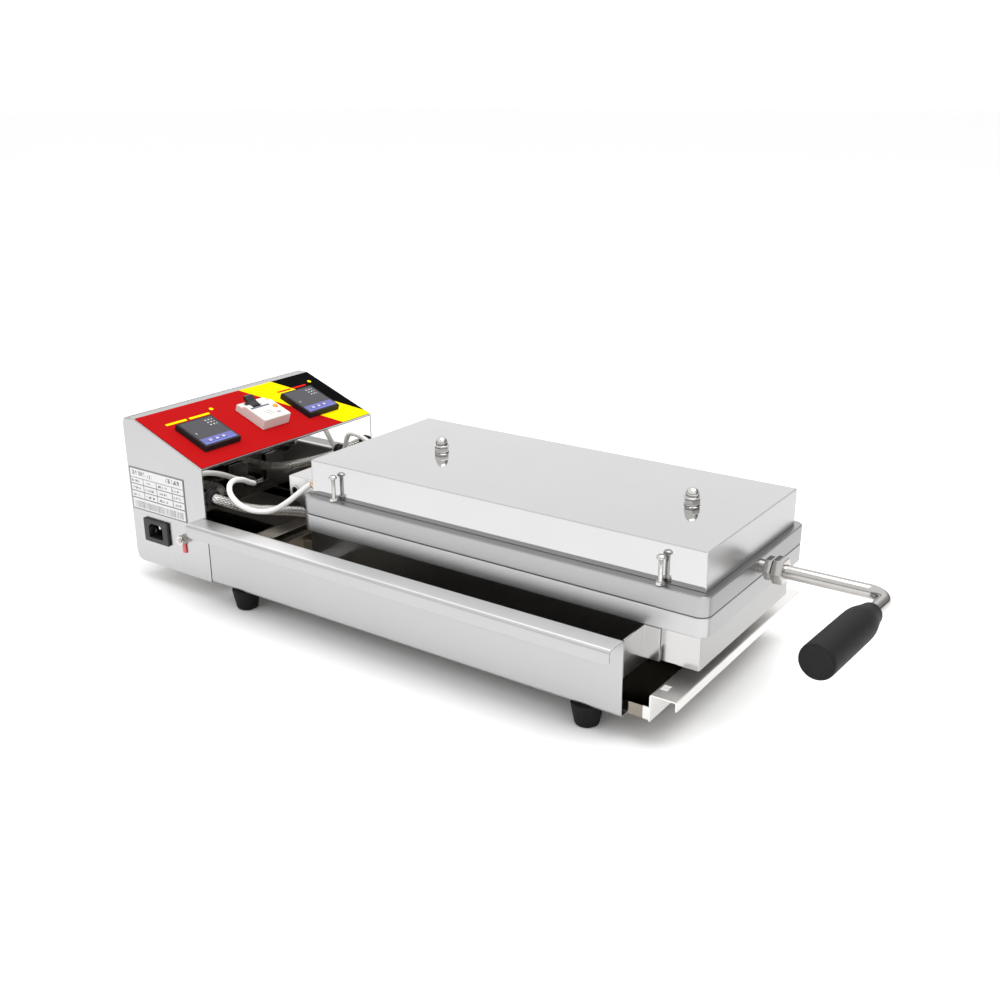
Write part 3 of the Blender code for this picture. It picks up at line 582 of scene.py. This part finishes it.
def moulded(name, tone, rough, spark=0.00003):
    """Injection-moulded plastic with a fine spark-eroded texture."""
    material, place = new_finish(name)
    texture = noise(place, 3200, 2)
    sink = noise(place, 70, 2)
    coat(material, {
        "Base Color": blend_of(sink, tuple(value * 0.9 for value in tone),
                               tuple(min(value * 1.1, 1.0) for value in tone)),
        "Roughness": rough + sink * 0.08,
        "Specular IOR Level": 0.4,
        "Normal": raised(texture, spark),
    })
    return material, place


meters = ((1, 0.0605, -0.080), (2, 0.059, 0.074))
key_step, key_off, key_down = 0.009, -0.002, 0.0155
for number, s_at, y_at in meters:
    case, place = new_finish("meter_case_" + str(number))
    s, y, h = axes(slope_place(place, s_at, y_at))
    face = (h > 0.0070) * within(s, -0.0215, 0.0215) * within(y, -0.0215, 0.0215)
    strip = face * within(s, 0.0105, 0.0208)
    foot_line = face * within(s, 0.0192, 0.0208)
    led_rows = within(s, -0.0175, -0.0160) + within(s, -0.0130, -0.0116) + within(s, -0.0085, -0.0070)
    led_marks = led_rows * within(y, 0.0075, 0.0185) * (place.maths("SINE", y * 1450) > 0.1)
    side_mark = within(s, -0.0012, 0.0012) * within(y, -0.0172, -0.0162)
    key_marks = (within(s, 0.0118, 0.0124) + within(s, 0.0186, 0.0190)) * within(y, -0.015, 0.011)
    tone = blend_of(face, (0.008, 0.009, 0.010), (0.052, 0.051, 0.060))
    tone = blend_of(strip, tone, (0.125, 0.128, 0.36))
    tone = blend_of(foot_line + strip * key_marks, tone, (0.16, 0.17, 0.62))
    tone = blend_of(face * (led_marks + side_mark), tone, (0.62, 0.62, 0.64))
    haze = noise(place, 90, 3)
    coat(case, {
        "Base Color": blend_of(haze * 0.1, tone, (0.13, 0.13, 0.14)),
        "Roughness": 0.42 - face * 0.17 + haze * 0.06,
        "Specular IOR Level": 0.16,
        "Normal": raised(noise(place, 3000, 2) * (1 - face), 0.00003),
    })
    resurfaced("controller_" + str(number), case)

    for key in (1, 2, 3):
        key_film, place = new_finish("meter_key_{}_{}".format(number, key))
        y_key = y_at + (key - 2) * key_step + key_off
        s, y, _ = axes(slope_place(place, s_at + key_down, y_key))
        reach = radius_of(s, y)
        if key == 1:
            sign = within(reach, 0.0009, 0.0015)
        elif key == 2:
            sign = within(s, -0.0014, 0.0011) * (abs(y) < (s + 0.0014) * 0.7)
        else:
            sign = within(s, -0.0011, 0.0014) * (abs(y) < (0.0014 - s) * 0.7)
        coat(key_film, {
            "Base Color": blend_of(sign, (0.135, 0.138, 0.36), (0.72, 0.72, 0.78)),
            "Roughness": 0.3 + noise(place, 400, 2) * 0.1,
            "Normal": raised(reach, 0.05),
        })
        key_mesh = frame["nodes"]["controller_{}_key_{}".format(number, key)].data
        key_mesh.materials.clear()
        key_mesh.materials.append(key_film)

cream, place = moulded("breaker_cream", (0.63, 0.61, 0.57), 0.4)
s, y, h = axes(slope_place(place))
top = h > 0.0119
stripe = top * within(s, 0.0515, 0.0545) * within(y, -0.0145, 0.0125)
marks = top * within(y, -0.004, 0.006) * (place.maths("SINE", s * 2100) > 0.35)
marks = marks * (within(s, 0.0605, 0.0700) + within(s, 0.0465, 0.0495))
dim_marks = top * within(y, 0.009, 0.015) * within(s, 0.068, 0.0715)
cream_tone = blend_of(noise(place, 60, 3), (0.68, 0.665, 0.62), (0.74, 0.725, 0.68))
cream_tone = blend_of(stripe, cream_tone, (0.10, 0.11, 0.17))
cream_tone = blend_of(marks + dim_marks, cream_tone, (0.30, 0.30, 0.32))
coat(cream, {"Base Color": cream_tone})
resurfaced("breaker_body", cream)
lever_black, _ = moulded("lever_black", (0.012, 0.012, 0.013), 0.3)
resurfaced("breaker_toggle", lever_black)
button_orange, _ = moulded("button_orange", (0.92, 0.36, 0.01), 0.3, 0.00001)
button_base = on_slope(0.059, 0.0165, 0.0)
button_way = down_slope @ Vector((0, 0, 1))
button = turned([(0.0, 0.0086), (0.0027, 0.0086), (0.0027, 0.0131), (0.0026, 0.0136),
                 (0.0023, 0.0139), (0.0017, 0.0140), (0.0012, 0.01385), (0.0, 0.0138)], 36)
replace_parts(piece("test_button_cap", put(button, button_base, button_way), button_orange,
                  "test_button", 50), "breaker_test_button")
relay_black, _ = moulded("relay_black", (0.02, 0.02, 0.022), 0.45)
resurfaced("relay_block", relay_black)


# ---------------------------------------------------------------------------------------
# Side of the control box. A printed film plate with plain ruled boxes in place of its
# text, a three-pin inlet for a detachable mains lead, and the earth stud with its nuts and
# a ring tag in a red sleeve.

plate_low, plate_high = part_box("rating_plate")
rating_film, place = new_finish("rating_film")
x, _, z = axes(place)
u = (x - plate_low.x) * (1 / (plate_high.x - plate_low.x))
v = (z - plate_low.z) * (1 / (plate_high.z - plate_low.z))
frame_line = 1 - within(u, 0.018, 0.982) * within(v, 0.03, 0.97)
table_area = within(v, 0.27, 0.76)
rows = place.maths("FRACT", v * 6.1 + 0.35) < 0.14
columns = within(u, 0.243, 0.255) + within(u, 0.488, 0.500) + within(u, 0.773, 0.785)
table_ends = within(v, 0.752, 0.768) + within(v, 0.265, 0.281)
cell_row = within(place.maths("FRACT", v * 6.1 + 0.35), 0.36, 0.68)
flecks = noise(place.node("Mapping", inputs={"Vector": place, "Scale": (520, 1, 160)}), 1.0, 1)
entries = cell_row * (flecks > 0.52) * within(place.maths("FRACT", u * 4.05), 0.12, 0.78)
header = within(v, 0.83, 0.93) * (within(u, 0.04, 0.30) + within(u, 0.68, 0.92)) * (flecks > 0.5)
seals = within(v, 0.80, 0.90) * within(u, 0.34, 0.42) * (place.maths("FRACT", u * 24) < 0.35)
bar_noise = noise(place.node("Mapping", inputs={"Vector": place, "Scale": (1900, 0, 0)}), 1.0, 0)
bars = within(v, 0.055, 0.215) * within(u, 0.05, 0.95) * (bar_noise > 0.5)
ink = place.maths("MINIMUM", frame_line + table_area * (rows + columns) + table_ends
                  + table_area * entries + header + seals + bars, 1.0)
dust = noise(place, 60, 3)
paper = blend_of(dust, (0.66, 0.66, 0.665), (0.72, 0.72, 0.725))
coat(rating_film, {
    "Base Color": blend_of(ink * 0.8, paper, (0.06, 0.06, 0.065)),
    "Roughness": 0.38 + dust * 0.08,
    "Normal": raised(noise(place, 1200, 2), 0.000012),
})
resurfaced("rating_plate", rating_film)

inlet_black, place = moulded("inlet_black", (0.014, 0.014, 0.015), 0.38)
x, y, z = axes(place)
pin_places = ((-0.35816, 0.060), (-0.34456, 0.060), (-0.35136, 0.065))
pins = 0.0
for pin_x, pin_z in pin_places:
    pins = pins + within(x, pin_x - 0.00115, pin_x + 0.00115) * within(z, pin_z - 0.00215, pin_z + 0.00215)
pins = pins * (y < -0.1155) * (y > -0.1275)
inlet_tone = blend_of(noise(place, 70, 2), (0.012, 0.012, 0.013), (0.018, 0.018, 0.019))
coat(inlet_black, {
    "Base Color": blend_of(pins, inlet_tone, (0.85, 0.82, 0.76)),
    "Metallic": pins,
    "Roughness": 0.38 - pins * 0.2,
})
resurfaced("mains_inlet", inlet_black)


def bright_finish(name, tone, rough):
    """Plated or polished turned metal with faint tool marks and a few specks."""
    material, place = new_finish(name)
    marks = noise(place, 700, 2)
    specks = noise(place, 120, 4, 0.7)
    coat(material, {
        "Base Color": blend_of(specks, tuple(value * 0.86 for value in tone),
                               tuple(min(value * 1.06, 1.0) for value in tone)),
        "Metallic": 1.0,
        "Roughness": rough + specks * 0.1,
        "Normal": raised(marks, 0.000012),
    })
    return material


def hexagon(across, depth, chamfer=0.0006):
    """A six-sided nut or head that stands on z = 0, with its corners chamfered."""
    bm = bmesh.new()
    radius = across / math.sqrt(3)
    bmesh.ops.create_cone(bm, cap_ends=True, segments=6, radius1=radius, radius2=radius,
                          depth=depth)
    bmesh.ops.translate(bm, vec=(0, 0, depth / 2), verts=bm.verts)
    bmesh.ops.rotate(bm, cent=(0, 0, 0), matrix=Matrix.Rotation(math.radians(30), 3, "Z"),
                     verts=bm.verts)
    corners = [edge for edge in bm.edges if abs(edge.verts[0].co.z - edge.verts[1].co.z) < 1e-6]
    bmesh.ops.bevel(bm, geom=corners, offset=chamfer, offset_type="OFFSET", segments=3,
                    profile=0.5, affect="EDGES", clamp_overlap=True, material=-1)
    bmesh.ops.recalc_face_normals(bm, faces=bm.faces)
    return bm


def together(*parts):
    """Several meshes as one piece."""
    whole = bmesh.new()
    for part in parts:
        mesh = bpy.data.meshes.new("part")
        part.to_mesh(mesh)
        part.free()
        whole.from_mesh(mesh)
        bpy.data.meshes.remove(mesh)
    return whole


def threaded(radius, low, high, pitch, steps=20):
    """A screw shank with a groove at every turn of its thread."""
    profile = [(0.0, low), (radius * 0.86, low)]
    turns = max(1, round((high - low) / pitch))
    step = (high - low) / turns
    for turn in range(turns):
        start = low + turn * step
        profile += [(radius * 0.86, start), (radius, start + step * 0.35), (radius, start + step * 0.6),
                    (radius * 0.86, start + step * 0.95)]
    profile += [(radius * 0.86, high), (0.0, high)]
    return turned(profile, steps)


fastener = bright_finish("bright_fastener", (0.62, 0.61, 0.59), 0.1)
earth = middle_of("earth_stud")
outward = (0, -1, 0)
stud = put(threaded(0.0025, 0.0, 0.0205, 0.0008), (earth.x, -0.1180, earth.z), outward)
nut_out = put(hexagon(0.009, 0.004, 0.0005), (earth.x, -0.1312, earth.z), outward)
nut_in = put(hexagon(0.009, 0.0054, 0.0005), (earth.x, -0.1220, earth.z), outward)
washer = put(turned([(0.0026, 0.0), (0.0050, 0.0), (0.0051, 0.0003), (0.0050, 0.0006),
                     (0.0026, 0.0006)], 32, closed=True), (earth.x, -0.1352, earth.z), outward)
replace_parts(piece("earth_stud_nuts", together(stud, nut_out, nut_in, washer), fastener,
                  "base", 30), "earth_stud")
tag_red, place = new_finish("tag_red")
sleeve_part = axes(place)[2] < 0.0585
scuff = noise(place, 400, 3)
tag_tone = blend_of(sleeve_part, (0.70, 0.66, 0.58), (0.66, 0.03, 0.03))
coat(tag_red, {
    "Base Color": blend_of(scuff * 0.25, tag_tone, (0.75, 0.6, 0.58)),
    "Metallic": 1 - sleeve_part,
    "Roughness": 0.25 + scuff * 0.2,
    "Normal": raised(scuff, 0.00004),
})
resurfaced("earth_tag", tag_red)


# ---------------------------------------------------------------------------------------
# Lower mould. A cast aluminium plate with two studded waffle pockets sits on a folded
# heater box that hides a U-shaped heating element. The outside of the casting is ground
# and polished, the pockets are bead blasted and darkened by oil. A hinge bar at the back
# end carries two blackened socket bolts with nuts.


def casting_finish(name, opens_up, tone):
    """Ground aluminium outside, with painted shade on its +X end face; blasted and oil-darkened inside the
    two pockets.
    """
    material, place = new_finish(name)
    x, y, z = axes(place)
    pocket_low, pocket_high = (0.1010, 0.1141) if opens_up else (0.1146, 0.1280)
    in_pocket = within(z, pocket_low, pocket_high) * (abs(y) < 0.0822)
    in_pocket = in_pocket * within(x, -0.1425, 0.2508)
    blast = noise(place, 1400, 3)
    oil = noise(place, 55, 4, 0.65)
    ground = noise(place.node("Mapping", inputs={"Vector": place, "Scale": (6, 300, 900)}), 1.0, 2)
    outside = blend_of(ground, tuple(value * 0.93 for value in tone), tone)
    # The +X end face is painted darker, as painted shade.
    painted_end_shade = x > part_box("lower_mould_plate")[1].x - 0.0012
    outside = blend_of(painted_end_shade, outside, tuple(value * 0.66 for value in tone))
    inside = blend_of(oil, (0.40, 0.38, 0.35), (0.20, 0.17, 0.13))
    smooth = raised(ground, 0.000001)
    rounded_edge = smooth.node("Bevel", {"samples": 4}, {"Radius": 0.0011, "Normal": smooth})
    coat(material, {
        "Base Color": blend_of(in_pocket, outside, inside),
        "Metallic": 1 - in_pocket * 0.15,
        "Roughness": 0.32 + ground * 0.05 + in_pocket * (0.12 + oil * 0.12),
        "Normal": raised(blast * in_pocket, 0.00012, rounded_edge),
    })
    return material


# Both castings are the same metal; this lighter tone is painted light, making up for the shade under the
# panel flange.
lower_casting = casting_finish("lower_casting", True, (0.54, 0.54, 0.545))
resurfaced("lower_mould_plate", lower_casting)
# Its +X end face is painted darker, as painted shade, and ground rougher.
heater_steel = sheet_finish("heater_steel", (0.53, 0.525, 0.515), 0.12, (4, 300, 700), 0.0004,
                            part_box("lower_heater_box")[1].x - 0.0004)
resurfaced("lower_heater_box", heater_steel)


def sheath_finish(name):
    """Oxidised heating tube, straw to blue-black from its own heat."""
    material, place = new_finish(name)
    heat = noise(place, 25, 3)
    tint = heat.node("ValToRGB", {"stops": [(0.3, (0.20, 0.16, 0.11)), (0.55, (0.07, 0.07, 0.085)),
                                            (0.8, (0.14, 0.13, 0.13))]}, {"Fac": heat})
    coat(material, {"Base Color": tint, "Metallic": 0.9, "Roughness": 0.45 + heat * 0.2,
                    "Normal": raised(noise(place, 900, 2), 0.00004)})
    return material


sheath = sheath_finish("heater_sheath")
resurfaced("lower_element", sheath)
hinge_steel = sheet_finish("hinge_steel", (0.64, 0.635, 0.63), 0.16, (200, 200, 200))
resurfaced("lower_hinge_bar", hinge_steel)

bolt_black, place = new_finish("bolt_black")
x, _, z = axes(place)
pivot = middle_of("hinge_bolt_left")
from_pivot = radius_of(x - pivot.x, z - pivot.z)
oil_film = noise(place, 300, 3)
coat(bolt_black, {
    "Base Color": blend_of(from_pivot > 0.00405, (0.05, 0.045, 0.04), (0.70, 0.69, 0.67)),
    "Metallic": 1.0,
    "Roughness": 0.16 + oil_film * 0.14,
    "Normal": raised(oil_film, 0.00001),
})
for node, side in (("hinge_bolt_left", -1), ("hinge_bolt_right", 1)):
    centre = middle_of(node)
    shank = turned([(0.0, 0.0572), (0.0036, 0.0572), (0.004, 0.0576), (0.004, 0.0721),
                    (0.0037, 0.0724), (0.0027, 0.0724), (0.0026, 0.0722), (0.0026, 0.0702),
                    (0.0, 0.0700)], 32)
    washer = turned([(0.0041, 0.0717), (0.0052, 0.0717), (0.0054, 0.0719), (0.0054, 0.0722),
                     (0.0052, 0.0724), (0.0043, 0.0724)], 40, closed=True)
    nut = put(hexagon(0.013, 0.0062, 0.0008), (0, 0, 0.0584))
    bolt = put(together(shank, washer, nut), (centre.x, 0, centre.z), (0, side, 0))
    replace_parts(piece(node + "_socket", bolt, bolt_black, "base", 30), node)


# ---------------------------------------------------------------------------------------
# Upper mould. The same casting upside down, under a cover folded and welded from mirror
# polished sheet. Two studs come up through the cover into acorn nuts. Four gap screws with
# lock nuts set how far the mould closes. Each white lead enters the cover in a gland.

# This tone, darker than the lower casting's, is painted shade; the metal is the same.
upper_casting = casting_finish("upper_casting", False, (0.42, 0.42, 0.425))
resurfaced("upper_mould_plate", upper_casting)
# Its +X end face is painted darker, as painted shade, and ground rougher.
mirror_steel = sheet_finish("mirror_steel", (0.55, 0.55, 0.552), 0.03, (300, 300, 4), 0.0011,
                            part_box("upper_cover")[1].x - 0.0004)
resurfaced("upper_cover", mirror_steel)
resurfaced("upper_element", sheath)
resurfaced("hinge_bracket_left", hinge_steel)
resurfaced("hinge_bracket_right", hinge_steel)
resurfaced("hinge_bridge", hinge_steel)

cover_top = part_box("upper_cover")[1].z
for number in (1, 2):
    node = "cap_nut_" + str(number)
    centre = middle_of(node)
    rest = cover_top + 0.0002
    flange = turned([(0.0, rest), (0.0068, rest), (0.0071, rest + 0.0003), (0.0068, rest + 0.0009),
                     (0.0, rest + 0.001)], 40)
    body = put(hexagon(0.013, 0.0062, 0.0007), (0, 0, rest + 0.0009))
    dome = turned([(0.0, rest + 0.0062), (0.0060, rest + 0.0062), (0.0060, rest + 0.0088),
                   (0.0058, rest + 0.0103), (0.0053, rest + 0.0119), (0.0044, rest + 0.0134),
                   (0.0032, rest + 0.0145), (0.0017, rest + 0.0151), (0.0, rest + 0.0152)], 40)
    shank = threaded(0.0039, 0.1297, rest - 0.0001, 0.00125)
    nut = put(together(flange, body, dome, shank), (centre.x, centre.y, 0))
    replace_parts(piece(node + "_acorn", nut, fastener, "upper_mould", 40), node)

plate_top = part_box("upper_mould_plate")[1].z
for number in range(1, 5):
    node = "gap_screw_" + str(number)
    centre = middle_of(node)
    shank = threaded(0.002, 0.1149, 0.1556, 0.0007, 16)
    head = turned([(0.0, 0.1553), (0.0037, 0.1553), (0.0040, 0.1557), (0.0040, 0.1563),
                   (0.0036, 0.1574), (0.0027, 0.1582), (0.0015, 0.1585), (0.0, 0.1586)], 28)
    nut = put(hexagon(0.007, 0.0030, 0.0004), (0, 0, plate_top + 0.0003))
    screw = put(together(shank, head, nut), (centre.x, centre.y, 0))
    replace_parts(piece(node + "_pan", screw, fastener, "upper_mould", 40), node)

gland_brass = bright_finish("gland_brass", (0.66, 0.52, 0.33), 0.22)
cover_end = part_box("upper_cover")[0].x
for name, y in (("gland_left", -0.086), ("gland_right", 0.086)):
    collar = turned([(0.0029, 0.0), (0.0046, 0.0), (0.0048, 0.0003), (0.0048, 0.0018),
                     (0.0040, 0.0024), (0.0038, 0.0052), (0.0034, 0.0058), (0.0029, 0.0058)],
                    36, closed=True)
    put(collar, (cover_end - 0.0003, y, 0.1393), (-1, 0, 0))
    piece(name, collar, gland_brass, "upper_mould", 40)


# ---------------------------------------------------------------------------------------
# Handle. A polished 12 mm rod screws into the end of the upper mould with a jam nut and a
# coupling nut, turns towards the front in a tight bend, and carries a moulded rubber grip
# that swells from a thin neck.

grip_turn = 0.055
bend = Vector((0.37964, 0.0, 0.1252))
grip_way = Vector((-math.sin(grip_turn), -math.cos(grip_turn), 0))
bend_radius = 0.016
bend_total = Vector((1, 0, 0)).angle(grip_way)
reach = bend_radius * math.tan(bend_total / 2)
arc_start = bend - Vector((reach, 0, 0))
arc_centre = arc_start + Vector((0, -bend_radius, 0))
rod_route = [Vector((x, 0, bend.z)) for x in (0.2582, 0.28, 0.32)]
for step in range(25):
    angle = bend_total * step / 24
    rod_route.append(arc_centre + Matrix.Rotation(-angle, 3, "Z") @ Vector((0, bend_radius, 0)))
rod_route += [bend + grip_way * 0.06, bend + grip_way * 0.128]
rod_steel = bright_finish("rod_steel", (0.48, 0.465, 0.45), 0.1)
rod = swept("handle_rod_polished", rod_route, 0.006, rod_steel, "upper_mould", 14)
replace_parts(rod, "handle_rod")

for node, across in (("handle_jam_nut", 0.018), ("handle_coupling_nut", 0.021)):
    low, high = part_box(node)
    depth = high.x - low.x
    bm = hexagon(across, depth, 0.0011)
    bmesh.ops.rotate(bm, cent=(0, 0, 0), matrix=Matrix.Rotation(math.radians(30), 3, "Z"),
                     verts=bm.verts)
    face = put(turned([(0.0, 0.0), (across * 0.47, 0.0), (across * 0.47, 0.0002), (0.0, 0.0002)], 40),
               (0, 0, depth - 0.0003))
    nut = put(together(bm, face), (low.x, 0, bend.z), (1, 0, 0))
    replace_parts(piece(node + "_hex", nut, rod_steel, "upper_mould", 25), node)

grip_rubber = rubber_finish("grip_rubber", (0.009, 0.0087, 0.009), 0.5)
grip_profile = [(0.0, 0.131), (0.0063, 0.131), (0.0063, 0.0405), (0.0067, 0.0401), (0.0084, 0.0400),
                (0.0090, 0.0403), (0.0094, 0.0412), (0.0096, 0.0430), (0.0101, 0.0460),
                (0.0110, 0.0500), (0.0120, 0.0542), (0.0130, 0.0586), (0.0136, 0.0620),
                (0.0140, 0.0660), (0.01415, 0.0710), (0.0142, 0.0780), (0.0142, 0.1385),
                (0.0141, 0.1399), (0.0137, 0.1410), (0.0130, 0.1416), (0.0122, 0.1418),
                (0.0116, 0.1416), (0.0108, 0.1413), (0.0050, 0.1414), (0.0, 0.1415)]
grip = put(turned(grip_profile, 72), bend, grip_way)
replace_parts(piece("handle_grip_moulded", grip, grip_rubber, "upper_mould", 60),
            "handle_grip")


# ---------------------------------------------------------------------------------------
# Drip tray. One folded tray of bright sheet that slides out under the lower mould; its
# front edge is turned out into a pull flange. Its bed is browned by burnt batter.

tray_steel, place = new_finish("tray_steel")
flange = axes(place)[0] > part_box("drip_tray")[1].x - 0.030
burnt = noise(place, 40, 4, 0.6)
tray_bed = blend_of(burnt, (0.36, 0.33, 0.29), (0.22, 0.19, 0.15))
coat(tray_steel, {
    "Base Color": blend_of(flange, tray_bed, (0.80, 0.79, 0.77)),
    "Metallic": 1.0,
    "Roughness": 0.02 + flange * 0.42 + burnt * 0.05,
    "Normal": raised(noise(place, 600, 2), 0.0000008),
})
resurfaced("drip_tray", tray_steel)
